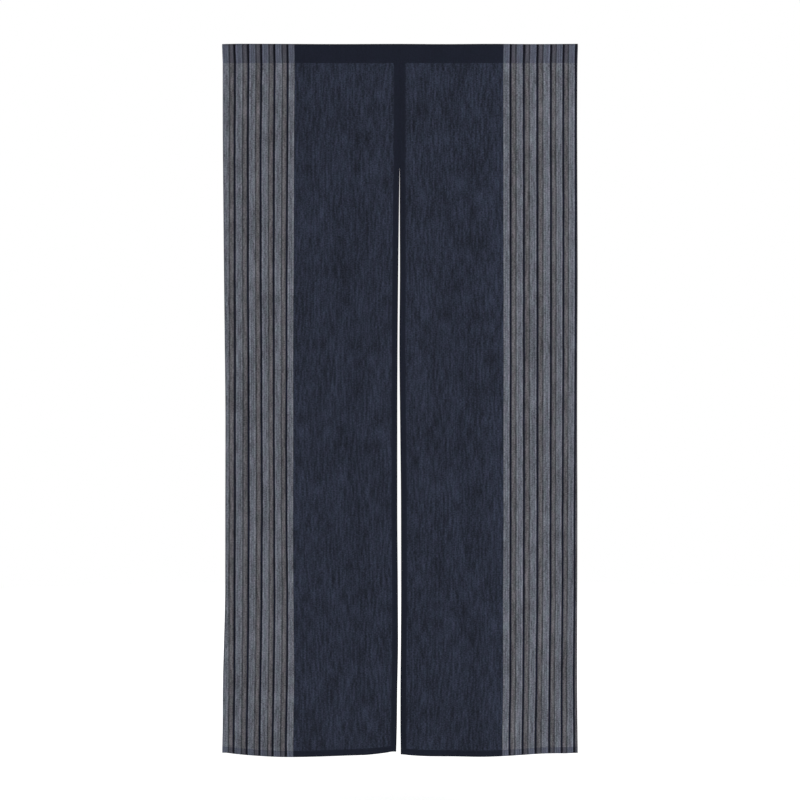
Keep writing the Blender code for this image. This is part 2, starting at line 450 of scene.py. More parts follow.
@dataclass(frozen=True)
class Line:
    """One line of the cloth's grid, where it lies on its way through a hem.

    Attributes:
        cloth: Distance along the cloth from the fold, negative once it is turned.
        inward: Distance from the fold on the hung surface.
        leg: The stretch of the hem that it is on.
        turn: Angle through a bend, from 0 to pi.
    """

    cloth: float
    inward: float
    leg: Leg = Leg.FACE
    turn: float = 0.0

    def covered(self, width: float) -> float:
        """Return 1 where a hem of that width backs the line, and 0 elsewhere."""
        return float(self.leg is not Leg.FACE or self.inward < width)


BEND_STEPS = 5
HEM_SPACING = 0.0035
FOLD_LINES = (0.0, 0.0006, 0.0015, 0.0035, 0.0065, 0.0100)   # distances from a fold


def hem_lines(width: float) -> list[Line]:
    """Return the lines of a hem, from its first bend to the tucked raw edge.

    Args:
        width: The hem's width.

    Returns:
        The lines, in the order in which the cloth runs.
    """
    bends = [math.pi * i / BEND_STEPS for i in range(1, BEND_STEPS)]
    inside = width - PLY
    count = round(width / HEM_SPACING)
    lines = [Line(-PLY * turn, 0.0, Leg.FIRST_BEND, turn) for turn in bends]
    start = -PLY * math.pi
    lines += [Line(start - inside * i / count, inside * i / count, Leg.UNDER)
              for i in range(count + 1)]
    start -= inside
    lines += [Line(start - PLY * turn / 2, inside, Leg.SECOND_BEND, turn) for turn in bends]
    start -= PLY * math.pi / 2
    tucked = inside - TUCK_SHORT
    lines += [Line(start - tucked * i / count, inside - tucked * i / count, Leg.TUCKED)
              for i in range(count + 1)]
    return lines


def face_lines(start: float, hem: float, spacing: float, edge_places: tuple) -> list[Line]:
    """Return the lines of a panel's face, from its far edge to a hem's fold.

    Args:
        start: The far edge's distance from the fold.
        hem: The hem's width.
        spacing: About how far apart the lines lie.
        edge_places: Extra lines near the far edge, as distances from it.

    Returns:
        The lines, in the order in which the cloth runs.
    """
    places = [*FOLD_LINES, hem - SHARP_EDGE, hem + SHARP_EDGE]
    places += [hem + EASE * i / 4 for i in (1, 2, 3)]
    begin = hem + EASE
    end = start - max(edge_places)
    count = round((end - begin) / spacing)
    places += [begin + (end - begin) * i / count for i in range(count)]
    places += [start - place for place in edge_places]
    return [Line(place, place) for place in sorted(places, reverse=True)]


def hem_lift(line: Line, ply: np.ndarray, stack: np.ndarray) -> tuple[np.ndarray, np.ndarray]:
    """Return how many plies behind the face a line of a hem lies, and how far it bulges.

    The cloth that is folded may itself be a stack of plies, as at a corner.

    Args:
        line: The line of the hem.
        ply: Which ply of the folded stack it is, counted from the face.
        stack: How many plies the folded stack has.

    Returns:
        The lift, and the shift inwards from the hem's straight stretch, both in plies.
    """
    still = np.zeros_like(ply)
    if line.leg is Leg.FACE:
        return ply, still
    if line.leg is Leg.UNDER:
        return 3 * stack - 1 - ply, still
    if line.leg is Leg.TUCKED:
        return stack + ply, still
    cosine, sine = math.cos(line.turn), math.sin(line.turn) * FOLD_FLATTEN
    if line.leg is Leg.FIRST_BEND:
        centre = (3 * stack - 1) / 2
        return centre - (centre - ply) * cosine, -(centre - ply) * sine
    centre = (4 * stack - 1) / 2
    radius = 3 * stack - 1 - ply - centre
    return centre + radius * cosine, radius * sine


def select_only(obj: bpy.types.Object) -> None:
    """Make one object the only selected one, and the active one.

    Args:
        obj: The object to work on.
    """
    bpy.ops.object.select_all(action="DESELECT")
    obj.select_set(True)
    bpy.context.view_layer.objects.active = obj


@dataclass
class Grid:
    """A patch of cloth as rows and columns of points, with its place on the uncut cloth.

    Attributes:
        points: The points, rows by columns by three.
        across: Each point's distance outside the first stripe's inner edge.
        along: Each point's distance down the cloth.
        doubled: 1 where another layer backs the cloth, 0 where it is single.
        selvedge: 1 on the firm woven edge, 0 elsewhere.
        flip: True to wind the faces the other way round.
    """

    points: np.ndarray
    across: np.ndarray
    along: np.ndarray
    doubled: np.ndarray
    selvedge: np.ndarray
    flip: bool

    def quads(self) -> np.ndarray:
        """Return the patch's faces, as numbers of its own points, four to a row."""
        rows, columns = self.points.shape[:2]
        corner = np.arange(rows * columns).reshape(rows, columns)
        ring = [corner[:-1, :-1], corner[1:, :-1], corner[1:, 1:], corner[:-1, 1:]]
        return np.stack(ring[::-1] if self.flip else ring, axis=-1).reshape(-1, 4)


def cloth_object(name: str, grids: list[Grid]) -> bpy.types.Object:
    """Make one piece of cloth from its patches, with its map, attributes and thickness.

    Args:
        name: The piece's name.
        grids: The patches.

    Returns:
        The new object.
    """
    starts = np.cumsum([0] + [grid.across.size for grid in grids])
    points = np.concatenate([grid.points.reshape(-1, 3) for grid in grids])
    quads = np.concatenate([grid.quads() + start for grid, start in zip(grids, starts)])
    mesh = bpy.data.meshes.new(name)
    mesh.from_pydata(points.tolist(), [], quads.tolist())
    used = np.zeros(len(mesh.loops), dtype=np.int32)
    mesh.loops.foreach_get("vertex_index", used)
    flat = np.concatenate([np.stack([grid.across.reshape(-1), grid.along.reshape(-1)], axis=-1)
                           for grid in grids])
    cloth_map = mesh.uv_layers.new(name="Cloth")
    cloth_map.data.foreach_set("uv", flat[used].astype(np.float32).reshape(-1))
    for label in ("doubled", "selvedge"):
        values = np.concatenate([getattr(grid, label).reshape(-1) for grid in grids])
        layer = mesh.attributes.new(label, "FLOAT", "POINT")
        layer.data.foreach_set("value", values.astype(np.float32))
    obj = bpy.data.objects.new(name, mesh)
    bpy.context.scene.collection.objects.link(obj)
    select_only(obj)
    solidify = obj.modifiers.new("cloth", "SOLIDIFY")
    solidify.thickness = CLOTH
    solidify.offset = 0
    bpy.ops.object.modifier_apply(modifier=solidify.name)
    bpy.ops.object.shade_smooth_by_angle(angle=CLOTH_SMOOTH)
    return obj


@dataclass
class PanelCloth:
    """One hanging panel: its face, its side and bottom hems, and the rows of stitches on them."""

    surface: HungSurface
    gap_above: float          # from the panel's solid up to the heading's
    column_spacing: float = 0.0038
    row_spacing: float = 0.0064
    pull_fade: float = 0.0040

    def __post_init__(self) -> None:
        """Work out the grid's lines."""
        step = (SELVEDGE - SHARP_EDGE, SELVEDGE + SHARP_EDGE)
        self.face_columns = face_lines(self.surface.width, SIDE_HEM, self.column_spacing,
                                       (0.0, 0.0015, 0.0032, *step))
        self.columns = self.face_columns + hem_lines(SIDE_HEM)
        self.rows = face_lines(self.surface.length + self.gap_above, BOTTOM_HEM,
                               self.row_spacing, (0.0, 0.0030))
        self.rows += hem_lines(BOTTOM_HEM)

    @staticmethod
    def stack_at(inward: np.ndarray) -> np.ndarray:
        """Return how many plies the bottom hem folds at an inward distance."""
        return 3 - 2 * smooth((inward - SIDE_HEM) / EASE)

    @staticmethod
    def side_pull(depth: np.ndarray) -> np.ndarray:
        """Return how far inside the solid's edge the side fold lies at each depth."""
        sewn = 1 - smooth((depth - SEAM_END) / SEAM_FADE)
        peep = smooth(1 - np.abs(depth - PEEP_DEPTH) / PEEP_HALF)
        return PLY * FOLD_FLATTEN + CLOTH / 2 - SEAM_REACH * sewn + PEEP_GAP * peep

    def shares(self, inward: np.ndarray, up: np.ndarray) -> tuple[np.ndarray, np.ndarray]:
        """Return shares across and down, for distances from the side fold and the bottom fold.

        Args:
            inward: Distances from the side fold.
            up: Distances up from the bottom fold.

        Returns:
            The shares, with the folds drawn in so that the hems end at the solid's outline.
        """
        pull = self.side_pull(self.surface.lowest - up) * np.clip(1 - inward / self.pull_fade, 0, 1)
        bulge = PLY * FOLD_FLATTEN * (3 * self.stack_at(inward) - 1) / 2
        rise = (bulge + CLOTH / 2) * np.clip(1 - up / self.pull_fade, 0, 1)
        return (inward + pull) / self.surface.width, 1 - (up + rise) / self.surface.length

    def grid(self) -> Grid:
        """Return the whole panel, hems included, as one patch of cloth."""
        surface = self.surface
        inward, up = np.meshgrid([line.inward for line in self.columns],
                                 [line.inward for line in self.rows])
        single = np.array(0.0), np.array(1.0)
        side_lift, side_shift = np.array([hem_lift(line, *single) for line in self.columns]).T
        stack = self.stack_at(inward)
        lifts, shifts = zip(*(hem_lift(line, side_lift, plies)
                              for line, plies in zip(self.rows, stack)))
        share, down = self.shares(inward, up)
        face, outwards, below, back = surface.frame_at(share, down)
        points = face + PLY * (np.array(lifts)[..., None] * back
                               + side_shift[None, :, None] * outwards
                               - np.array(shifts)[..., None] * below)
        # How much farther along the cloth each turned line lies than the face that it backs
        turned_side = np.array([line.cloth - line.inward for line in self.columns])
        turned_bottom = np.array([line.cloth - line.inward for line in self.rows])[:, None]
        offset = MAP_OFFSET if surface.side is Side.LEFT else 0.0
        side_cover = np.array([line.covered(SIDE_HEM) for line in self.columns])
        bottom_cover = np.array([line.covered(BOTTOM_HEM) for line in self.rows])[:, None]
        return Grid(
            points=points,
            across=surface.from_band(face) + turned_side,
            along=offset - face[..., 2] - turned_bottom,
            doubled=np.maximum(side_cover, bottom_cover),
            selvedge=(inward > surface.width - SELVEDGE).astype(float),
            flip=surface.side is Side.RIGHT,
        )

    def build(self) -> bpy.types.Object:
        """Return the panel's cloth as one object."""
        return cloth_object(f"panel_{self.surface.side.word}_cloth", [self.grid()])

    def stitch_rows(self) -> list[np.ndarray]:
        """Return the rows of stitches on both faces of both hems.

        Returns:
            For each row, its stitches' middles, directions and ways out of the cloth.
        """
        surface = self.surface
        ups = np.arange(STITCH_START, surface.length - STITCH_START, STITCH_PITCH)
        inwards = np.arange(STITCH_START, surface.width - STITCH_END, STITCH_PITCH)
        side = (np.full_like(ups, SIDE_HEM - STITCH_INSET), ups, True)
        bottom = (inwards, np.full_like(inwards, BOTTOM_HEM - STITCH_INSET), False)
        rows = []
        for inward, up, upright in (side, bottom):
            points, outwards, below, back = surface.frame_at(*self.shares(inward, up))
            direction = below if upright else outwards
            behind = np.where(up < BOTTOM_HEM, 3 * self.stack_at(inward) - 1, 2.0)
            for out, lift in ((-back, 0 * behind), (back, behind)):
                middle = points + back * (lift * PLY)[:, None] + out * CLOTH / 2
                rows.append(np.stack([middle, direction, out], axis=1))
        return rows


@dataclass
class HeadingCloth:
    """The rod pocket: each panel's top turned over to the back and sewn down."""

    surfaces: dict[Side, HungSurface]
    columns: dict[Side, list[Line]]
    stitch_depth: float = 0.0433
    turn_under: float = 0.0100
    arc_steps: int = 14
    wall_steps: int = 9
    tuck_steps: int = 4
    station: float = 0.0025   # solid points this close along X belong to one station

    def __post_init__(self) -> None:
        """Read the sleeve's size and its top edge from its solid."""
        low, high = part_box("heading")
        self.bottom = -low.z
        self.radius = (high.y - low.y) / 2 - CLOTH / 2
        self.half_width = high.x
        points = np.array([v.co for v in bpy.data.objects["heading"].data.vertices])
        self._stations = np.unique(np.round(points[:, 0], 3))
        self._tops = np.array([-points[np.abs(points[:, 0] - x) < self.station, 2].max()
                               for x in self._stations])
        self.cloth_length = 0.0

    def section(self, front: np.ndarray, back: np.ndarray, centre: np.ndarray) -> np.ndarray:
        """Return the sleeve's side view at each column, from the front's bottom to the raw edge.

        Args:
            front: Where the front layer stands at the bottom.
            back: Where the back layer stands there.
            centre: Depth of the middle of the rod's space.

        Returns:
            The section's y and depth, rows by columns by two.
        """
        drop = self.stitch_depth - centre
        starts = [np.arctan2(tail, drop) + np.arccos(self.radius / np.hypot(tail, drop))
                  for tail in (-front, back)]
        angles = np.linspace(starts[0], 2 * math.pi - starts[1], self.arc_steps + 1)
        arc = np.stack([-self.radius * np.sin(angles), centre + self.radius * np.cos(angles)], -1)

        def wall(tail: np.ndarray, corner: np.ndarray) -> np.ndarray:
            """Return the rows from the bottom up to an end of the arc, without it."""
            foot = np.stack([tail, np.full_like(tail, self.bottom)], -1)
            sewn = np.stack([tail, np.full_like(tail, self.stitch_depth)], -1)
            steps = np.linspace(0, 1, self.wall_steps, endpoint=False)[:, None, None]
            return np.concatenate([foot[None], sewn + steps * (corner - sewn)])

        back_wall = wall(back, arc[-1])[::-1]
        turns = np.linspace(0, math.pi, BEND_STEPS + 1)[1:-1, None]
        bend = np.stack([back - PLY / 2 * (1 - np.cos(turns)),
                         self.bottom + PLY / 2 * np.sin(turns) + 0 * back], -1)
        ups = np.linspace(self.bottom, self.bottom - self.turn_under, self.tuck_steps)[:, None]
        lean = (back_wall[0, :, 0] - back) / (self.stitch_depth - back_wall[0, :, 1])
        tucked = np.stack([back - PLY + np.maximum(self.stitch_depth - ups, 0) * lean,
                           ups + 0 * back], -1)
        return np.concatenate([wall(front, arc[0]), arc, back_wall, bend, tucked])

    def half(self, side: Side) -> Grid:
        """Return one panel's half of the sleeve.

        Args:
            side: Which panel's half.

        Returns:
            The half as a patch of cloth.
        """
        surface = self.surfaces[side]
        inward = np.array([line.inward for line in self.columns[side]])
        inward[-1] = -SEAM_REACH
        share = inward / surface.width
        above = (surface.top - self.bottom) / surface.length
        foot = surface.place(share, np.full_like(share, -above))
        back = foot[:, 1] + PLY * self.plies_behind(inward)
        centre = np.interp(foot[:, 0], self._stations, self._tops) + self.radius + CLOTH / 2
        outline = self.section(foot[:, 1], back, centre)
        low = np.clip(outline[..., 1] / self.bottom, 0, 1)
        spare = self.half_width - side.value * foot[0, 0]
        x = foot[:, 0] + side.value * share * spare * (1 - low)
        steps = np.linalg.norm(np.diff(outline, axis=0), axis=-1).mean(axis=1)
        self.cloth_length = float(steps.sum())
        offset = MAP_OFFSET if side is Side.LEFT else 0.0
        along = offset + self.bottom - np.concatenate([[0.0], np.cumsum(steps)])
        selvedge = (inward > surface.width - SELVEDGE).astype(float)
        return Grid(
            points=np.stack([x, outline[..., 0], -outline[..., 1]], -1),
            across=np.broadcast_to(surface.from_band(foot), x.shape),
            along=np.broadcast_to(along[:, None], x.shape),
            doubled=np.ones(x.shape),
            selvedge=np.broadcast_to(selvedge, x.shape),
            flip=side is Side.LEFT,
        )

    @staticmethod
    def plies_behind(inward: np.ndarray) -> np.ndarray:
        """Return how many plies behind its front the sleeve's back layer is sewn down."""
        return 2 + 2 * (1 - smooth((inward - SIDE_HEM) / EASE))

    def build(self) -> bpy.types.Object:
        """Return the sleeve's two halves as one object."""
        return cloth_object("heading_cloth", [self.half(side) for side in Side])

    def stitch_rows(self) -> list[np.ndarray]:
        """Return the row of stitches through the bottom of the pocket, on both faces."""
        rows = []
        for surface in self.surfaces.values():
            inward = np.arange(STITCH_PITCH / 2, surface.width - STITCH_END, STITCH_PITCH)
            foot = surface.place(inward / surface.width, np.zeros_like(inward))
            foot[:, 2] = -self.stitch_depth
            along = np.tile([1.0, 0.0, 0.0], (len(inward), 1))
            for way, lift in ((-1.0, 0 * inward), (1.0, PLY * self.plies_behind(inward))):
                out = np.tile([0.0, way, 0.0], (len(inward), 1))
                middle = foot + np.array([0.0, 1.0, 0.0]) * lift[:, None] + out * CLOTH / 2
                rows.append(np.stack([middle, along, out], axis=1))
        return rows


@dataclass
class StitchRun:
    """Rows of machine stitches, each a copy of one short stretch of thread."""

    length: float = 0.0023
    thread: float = 0.00028
    sides: int = 6
    taper: float = 0.55
    bury: float = 0.00018     # how deep a stitch's ends go into the cloth
    smooth_angle: float = math.radians(60)

    def model(self) -> tuple[np.ndarray, list[list[int]]]:
        """Model one stitch along X, on cloth whose outside is +Z.

        Returns:
            Its points and its faces.
        """
        bpy.ops.object.select_all(action="DESELECT")
        bpy.ops.mesh.primitive_cylinder_add(
            vertices=self.sides, radius=self.thread / 2, depth=self.length / 2,
            end_fill_type="NGON", rotation=(0, math.pi / 2, 0))
        stitch = bpy.context.object
        bpy.ops.object.transform_apply(location=True, rotation=True, scale=True)
        bpy.ops.object.mode_set(mode="EDIT")
        bpy.ops.mesh.select_mode(type="FACE")
        for way in (-1, 1):
            bpy.ops.mesh.select_all(action="DESELECT")
            bpy.ops.object.mode_set(mode="OBJECT")
            for face in stitch.data.polygons:
                face.select = way * face.normal.x > 0.9
            bpy.ops.object.mode_set(mode="EDIT")
            bpy.ops.mesh.extrude_region_move(
                TRANSFORM_OT_translate={"value": (way * self.length / 4, 0, -self.bury)})
            bpy.ops.transform.resize(value=(1, self.taper, self.taper),
                                     center_override=(way * self.length / 2, 0, -self.bury))
        bpy.ops.object.mode_set(mode="OBJECT")
        mesh = stitch.data
        points = np.array([v.co for v in mesh.vertices])
        faces = [list(face.vertices) for face in mesh.polygons]
        bpy.data.objects.remove(stitch)
        bpy.data.meshes.remove(mesh)
        return points, faces

    def build(self, name: str, rows: list[np.ndarray]) -> bpy.types.Object:
        """Copy the stitch along every row and join the copies.

        Args:
            name: The piece's name.
            rows: Rows of stitches, each a middle, a direction and a way out of the cloth.

        Returns:
            The joined stitches.
        """
        shape, faces = self.model()
        stitches = np.concatenate(rows)
        middle, along, out = stitches[:, None, 0], stitches[:, None, 1], stitches[:, None, 2]
        beside = np.cross(out, along)
        points = middle + shape[:, 0:1] * along + shape[:, 1:2] * beside + shape[:, 2:3] * out
        copies = [[v + i * len(shape) for v in face] for i in range(len(stitches)) for face in faces]
        mesh = bpy.data.meshes.new(name)
        mesh.from_pydata(points.reshape(-1, 3).tolist(), [], copies)
        obj = bpy.data.objects.new(name, mesh)
        bpy.context.scene.collection.objects.link(obj)
        select_only(obj)
        bpy.ops.object.shade_smooth_by_angle(angle=self.smooth_angle)
        return obj


class Wire:
    """A socket that takes part in plain arithmetic, which adds Math nodes to its material."""

    def __init__(self, board: Board, socket: bpy.types.NodeSocket) -> None:
        """Hold a socket and the board that it is on."""
        self.board = board
        self.socket = socket

    def math(self, operation: str, *others: Any) -> Wire:
        """Return the result of one Math node on this wire and others, in that order."""
        sockets = dict(enumerate((self, *others)))
        return self.board.add("ShaderNodeMath", {"operation": operation}, sockets)

    def __add__(self, other: Any) -> Wire:
        """Return self + other."""
        return self.math("ADD", other)

    __radd__ = __add__

    def __sub__(self, other: Any) -> Wire:
        """Return self - other."""
        return self.math("SUBTRACT", other)

    def __rsub__(self, other: Any) -> Wire:
        """Return other - self."""
        return self.math("MULTIPLY_ADD", -1.0, other)

    def __mul__(self, other: Any) -> Wire:
        """Return self * other."""
        return self.math("MULTIPLY", other)

    __rmul__ = __mul__

    def __truediv__(self, other: Any) -> Wire:
        """Return self / other."""
        return self.math("DIVIDE", other)

    def __gt__(self, other: Any) -> Wire:
        """Return 1 where self is greater than other, and 0 elsewhere."""
        return self.math("GREATER_THAN", other)


class Board:
    """A material's node tree, with one method that adds any node."""

    def __init__(self, name: str) -> None:
        """Start a new material with an empty tree.

        Args:
            name: The material's name.
        """
        self.material = bpy.data.materials.new(name)
        self.material.use_nodes = True
        self.tree = self.material.node_tree
        self.tree.nodes.clear()

    def add(self, kind: str, settings: dict[str, Any] | None = None,
            sockets: dict[Any, Any] | None = None, out: int | str | None = 0) -> Wire | None:
        """Add a node, set it up and link it.

        Args:
            kind: The node's type.
            settings: Its settings; "stops" gives a ramp's places and colours.
            sockets: Values or wires for its input sockets, by name or number.
            out: The output to return, or None for a node without one.

        Returns:
            The chosen output.
        """
        node = self.tree.nodes.new(kind)
        for key, value in (settings or {}).items():
            if key == "stops":
                self._set_stops(node.color_ramp, value)
            else:
                setattr(node, key, value)
        for key, value in (sockets or {}).items():
            if isinstance(value, Wire):
                self.tree.links.new(value.socket, node.inputs[key])
            else:
                node.inputs[key].default_value = value
        return None if out is None else Wire(self, node.outputs[out])

    @staticmethod
    def _set_stops(ramp: bpy.types.ColorRamp, stops: list) -> None:
        """Give a ramp its stops, each a place and a colour."""
        while len(ramp.elements) > 1:
            ramp.elements.remove(ramp.elements[-1])
        ramp.elements[0].position = stops[0][0]
        ramp.elements[0].color = (*stops[0][1], 1.0)
        for place, colour in stops[1:]:
            ramp.elements.new(place).color = (*colour, 1.0)

    def blend(self, kind: str, share: Any, first: Any, second: Any) -> Wire:
        """Return two colours mixed.

        Args:
            kind: The way of mixing, such as MIX or MULTIPLY.
            share: How much of the mix shows.
            first: The first colour.
            second: The second colour.

        Returns:
            The mixed colour.
        """
        first, second = ((*c, 1.0) if isinstance(c, tuple) else c for c in (first, second))
        return self.add("ShaderNodeMix", {"data_type": "RGBA", "blend_type": kind},
                        {0: share, 6: first, 7: second}, out=2)

    def tinted(self, colour: Any, share: Wire) -> Wire:
        """Return a colour made lighter or darker by a wire."""
        grey = self.add("ShaderNodeCombineColor", None, {0: share, 1: share, 2: share})
        return self.blend("MULTIPLY", 1.0, colour, grey)

    def grain(self, u: Any, v: Any, detail: float = 0.0, rough: float = 0.5) -> Wire:
        """Return soft noise, from about -0.5 to 0.5, over two wires.

        Args:
            u: The first coordinate, in grains.
            v: The second coordinate, in grains.
            detail: How many finer layers it has.
            rough: How strong those are.

        Returns:
            The noise.
        """
        place = self.add("ShaderNodeCombineXYZ", None, {0: u, 1: v})
        return self.add("ShaderNodeTexNoise", {"noise_dimensions": "2D"},
                        {"Vector": place, "Scale": 1.0, "Detail": detail, "Roughness": rough}) - 0.5


SHEEN = 0.0066                # what the cloth's surface adds to every colour, linear


def seen(red: float, green: float, blue: float) -> tuple[float, float, float]:
    """Return the linear base colour that shows as a screen colour in the studio's light.

    Args:
        red: Its red on screen.
        green: Its green on screen.
        blue: Its blue on screen.

    Returns:
        The three linear values.
    """
    return tuple(max(channel - SHEEN, 0.0) for channel in linear(red, green, blue))


@dataclass(frozen=True)
class Stripe:
    """One stripe of the repeat, as a single layer of cloth shows it.

    Attributes:
        end: Where it ends, from the first stripe's inner edge.
        colour: Its linear colour.
        paleness: 0 for navy threads, up to 1 for the palest.
    """

    end: float
    colour: tuple[float, float, float]
    paleness: float


REPEAT = (
    Stripe(0.0006, seen(80, 82, 88), 0.8),
    Stripe(0.0044, seen(100, 103, 111), 1.0),
    Stripe(0.0056, seen(85, 89, 97), 0.9),
    Stripe(0.0094, seen(96, 99, 108), 0.95),
    Stripe(0.0110, seen(85, 89, 98), 0.9),
    Stripe(0.0150, seen(103, 106, 116), 1.0),
    Stripe(0.0198, seen(28, 29, 38), 0.0),
    Stripe(0.0216, seen(72, 72, 78), 0.6),
    Stripe(0.0284, seen(91, 90, 94), 0.85),
    Stripe(STRIPE_PERIOD, seen(66, 67, 72), 0.5),
)


@dataclass(frozen=True)
class StripedCloth:
    """Sheer plain-weave cloth: navy, with blue-grey and brown-grey stripes along the outer side.

    A single layer is lighter than one with another layer behind, because light comes through
    between its threads; that light is painted into the base colour, and left out where another
    layer backs the cloth, which shows as painted shade on the hems and the pocket. The veils are
    the shares of a colour that are this painted light. A size is across and down the cloth. A tone
    is its strength on navy and what pale threads add to it.
    """

    name: str
    navy: tuple = seen(43, 47, 59)
    green_cast: tuple = (0.965, 1.02, 0.99)
    red_cast: tuple = (1.035, 0.98, 1.01)
    # tint of cloth that another layer backs, part of its painted shade
    backed_cast: tuple = (1.02, 1.05, 1.19)
    navy_veil: float = 0.57
    pale_veil: float = 0.33
    warp_pitch: float = 0.00058
    weft_pitch: float = 0.00064
    crimp: float = 0.30       # how far threads rise and dip where they cross
    mean_gap: float = 0.19    # average of the gap between threads, on a scale from 0 to 1
    thread_size: tuple = (0.0014, 0.035)
    line_size: tuple = (0.0040, 0.50)
    cloud_size: tuple = (0.045, 0.11)
    slub_size: tuple = (0.0048, 0.035)
    patch_size: tuple = (0.0085, 0.026)
    warp_fleck: float = 0.0080      # length of an upright thread's uneven stretches
    weft_fleck: float = 0.0050      # length of a level thread's
    fleck_step: float = 0.30        # how unlike two neighbouring threads are
    thread_tone: tuple = (0.14, 0.70)
    line_tone: tuple = (0.20, 0.25)
    cross_tone: tuple = (0.25, 0.45)
    translucency: float = 0.02
    roughness: float = 0.88

    def build(self) -> bpy.types.Material:
        """Return the finished material."""
        board = Board(self.name)
        cloth = board.add("ShaderNodeUVMap", {"uv_map": "Cloth"})
        u = board.add("ShaderNodeSeparateXYZ", None, {0: cloth}, out=0)
        v = board.add("ShaderNodeSeparateXYZ", None, {0: cloth}, out=1)
        doubled = board.add("ShaderNodeAttribute", {"attribute_name": "doubled"}, out="Fac")
        edge = board.add("ShaderNodeAttribute", {"attribute_name": "selvedge"}, out="Fac")
        colour, pale = self._stripes(board, u, v)
        height, on_top, gap = self._weave(u, v)

        def sized(size: tuple, detail: float = 0.0) -> Wire:
            """Return noise whose grains have that size."""
            return board.grain(u / size[0], v / size[1], detail=detail)

        def by_paleness(tone: tuple) -> Wire:
            """Return a tone's strength on each thread."""
            return tone[0] + tone[1] * pale

        threads = sized(self.thread_size)
        lines = sized(self.line_size)
        clouds = sized(self.cloud_size, detail=1.0)
        warp_number = (u / self.warp_pitch).math("FLOOR") * self.fleck_step
        weft_number = (v / self.weft_pitch).math("ROUND") * self.fleck_step
        warp_fleck = board.grain(warp_number, v / self.warp_fleck, detail=1.0)
        weft_fleck = board.grain(u / self.weft_fleck, weft_number) * 1.2
        flecks = weft_fleck + on_top * (warp_fleck - weft_fleck)
        slubs = sized(self.slub_size)
        patches = sized(self.patch_size, detail=1.0)
        tone = 1 + threads * by_paleness(self.thread_tone) + lines * by_paleness(self.line_tone)
        tone = tone + clouds * 0.20 + (on_top - 0.5) * by_paleness(self.cross_tone) + flecks * 0.7
        mottle = (1 + flecks * 3.2 + slubs * 2.1 + clouds * 1.2).math("MAXIMUM", 0.0)
        # Painted light: the light through a single layer's gaps, more where the gaps are wide, none
        # where another layer backs the cloth, less on the selvedge
        painted_light = (0.6 + gap * (0.4 / self.mean_gap)) * (1 - doubled) * (1 - edge * 0.6)
        veil = self.navy_veil - pale * (self.navy_veil - self.pale_veil)
        cast = board.blend("MIX", patches * 2.0 + 0.5, self.green_cast, self.red_cast)
        colour = board.blend("MULTIPLY", 1.0, colour, cast)
        # Painted shade: where another layer backs the cloth its colour is tinted bluer, and the
        # painted light is left out
        colour = board.blend("MULTIPLY", doubled, colour, self.backed_cast)
        colour = board.tinted(colour, tone * (1 - veil) + mottle * painted_light * veil)

        normal = board.add("ShaderNodeBump", None, {
            "Strength": 0.6, "Distance": 0.00016, "Height": height + flecks * 0.3})
        front = board.add("ShaderNodeBsdfPrincipled", None, {
            "Base Color": colour, "Roughness": self.roughness, "Specular IOR Level": 0.12,
            "Normal": normal})
        through = board.add("ShaderNodeBsdfTranslucent", None, {"Color": (0.45, 0.55, 0.75, 1.0)})
        mixed = board.add("ShaderNodeMixShader", None, {0: self.translucency, 1: front, 2: through})
        board.add("ShaderNodeOutputMaterial", None, {0: mixed}, out=None)
        return board.material

    def _stripes(self, board: Board, u: Wire, v: Wire) -> tuple[Wire, Wire]:
        """Lay out the stripes.

        Args:
            board: The material's board.
            u: Distance outside the first stripe.
            v: Distance down the cloth.

        Returns:
            The single cloth's colour, and how pale its threads are, from 0 to 1.
        """
        wander = board.grain(u / 0.05, v / 0.16) * 0.0007
        place = ((u + wander) / STRIPE_PERIOD).math("FRACT")
        soft = 0.0003 / STRIPE_PERIOD

        def ramp(values: list) -> Wire:
            """Return a ramp across a whole repeat, with one value a stripe."""
            stops = [(0.0, values[0])]
            for stripe, value, following in zip(REPEAT, values, values[1:]):
                share = stripe.end / STRIPE_PERIOD
                stops += [(share - soft, value), (share + soft, following)]
            return board.add("ShaderNodeValToRGB", {"stops": stops}, {0: place})

        in_band = u + wander > 0.0
        colour = board.blend("MIX", in_band, self.navy, ramp([s.colour for s in REPEAT]))
        grey = ramp([(s.paleness,) * 3 for s in REPEAT])
        return colour, board.add("ShaderNodeSeparateColor", None, {0: grey}) * in_band

    def _weave(self, u: Wire, v: Wire) -> tuple[Wire, Wire, Wire]:
        """Weave the threads.

        Args:
            u: Distance across the cloth.
            v: Distance down the cloth.

        Returns:
            The height of the threads, 1 where an upright one is on top, and the gap's size.
        """
        upright = (u * (math.pi / self.warp_pitch)).math("SINE")
        level = (v * (math.pi / self.weft_pitch)).math("COSINE")
        over = upright * level * self.crimp
        round_upright = upright.math("ABSOLUTE")
        round_level = level.math("ABSOLUTE")
        warp = round_upright + over
        weft = round_level - over
        return warp.math("MAXIMUM", weft), warp > weft, 1 - round_upright.math("MAXIMUM", round_level)


@dataclass(frozen=True)
class SewingThread:
    """Matte twisted sewing thread, with a painted highlight on the raised strands of its twist."""

    name: str = "thread"
    colour: tuple = linear(24, 26, 36)
    # colour of the painted highlight on the twist's raised strands
    light: tuple = linear(42, 46, 60)
    twist: float = 0.00045

    def build(self) -> bpy.types.Material:
        """Return the finished material."""
        board = Board(self.name)
        place = board.add("ShaderNodeTexCoord", out="Object")
        x, y, z = (board.add("ShaderNodeSeparateXYZ", None, {0: place}, out=i) for i in range(3))
        strand = ((x + y + z) * (2 * math.pi / self.twist)).math("SINE")
        # Painted highlight: the thread is lighter where the strands of its twist stand up
        colour = board.blend("MIX", strand * 0.4 + 0.5, self.colour, self.light)
        normal = board.add("ShaderNodeBump", None, {
            "Strength": 0.5, "Distance": 0.00005, "Height": strand})
        shader = board.add("ShaderNodeBsdfPrincipled", None, {
            "Base Color": colour, "Roughness": 0.7, "Specular IOR Level": 0.25, "Normal": normal})
        board.add("ShaderNodeOutputMaterial", None, {0: shader}, out=None)
        return board.material


